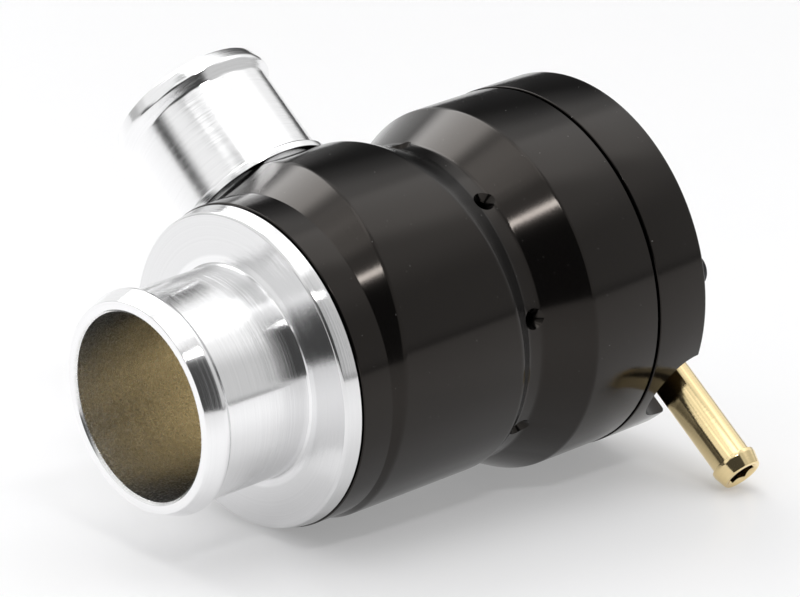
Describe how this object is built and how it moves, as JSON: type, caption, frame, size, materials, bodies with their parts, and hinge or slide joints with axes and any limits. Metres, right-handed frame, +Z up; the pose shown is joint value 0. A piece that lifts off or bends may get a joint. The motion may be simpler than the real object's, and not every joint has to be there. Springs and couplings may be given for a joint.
{
  "type": "blow off valve",
  "caption": "Piston blow off valve with a flanged inlet pipe, a side outlet pipe, a necked black body with vent holes, and a cap with a brass hose nipple.",
  "frame": {"origin": "on the table, under the middle of the valve's bounding box", "axes": "+X is the level direction of the main axis, from the inlet to the cap; +Y is the side the outlet leans to; +Z is up as the valve lies"},
  "size_m": [0.104, 0.0832, 0.0664],
  "materials": {
    "bare_aluminium": "turned, bright",
    "black_anodised": "black anodised, satin",
    "polished_brass": "polished",
    "turned_brass": "turned",
    "copper": "soft copper",
    "spring_steel": "drawn wire",
    "plain_steel": "turned",
    "black_steel": "black oxide",
    "seal_rubber": "matte"
  },
  "bodies": {
    "housing": {"inlet_spigot": "bare_aluminium", "inlet_o_ring": "seal_rubber", "seat_o_ring": "seal_rubber", "valve_body": "black_anodised", "outlet_spigot": "bare_aluminium", "outlet_o_ring": "seal_rubber", "skirt_o_ring": "seal_rubber", "cap": "black_anodised", "cap_o_ring": "seal_rubber", "hose_nipple": "polished_brass", "nipple_washer": "copper", "cap_screw_1": "black_steel", "cap_screw_2": "black_steel", "cap_screw_3": "black_steel", "cap_screw_4": "black_steel"},
    "piston": {"piston": "turned_brass", "piston_o_ring": "seal_rubber"},
    "spring_cup": {"spring_cup": "plain_steel", "spring": "spring_steel"},
    "adjuster": {"adjuster_screw": "plain_steel", "adjuster_o_ring": "seal_rubber"}
  },
  "joints": [
    {"name": "piston_slide", "type": "slide", "parent": "housing", "child": "piston", "axis": [0.9972, 0, 0.0742], "range_m": [0, 0.011], "stiffness_N_per_m": 1500, "springref_m": -0.012, "deforming": ["spring"]},
    {"name": "cup_slide", "type": "slide", "parent": "housing", "child": "spring_cup", "axis": [-0.9972, 0, -0.0742], "range_m": [0, 0.0024], "deforming": ["spring"]},
    {"name": "adjuster_turn", "type": "hinge", "parent": "spring_cup", "child": "adjuster", "pos_m": [0.05091, -0.00333, 0.03184], "axis": [-0.9972, 0, -0.0742], "range_deg": [0, 692]}
  ],
  "couplings": [
    {"joint": "adjuster_turn", "follows": "cup_slide", "rad_per_m": 5026.5}
  ]
}
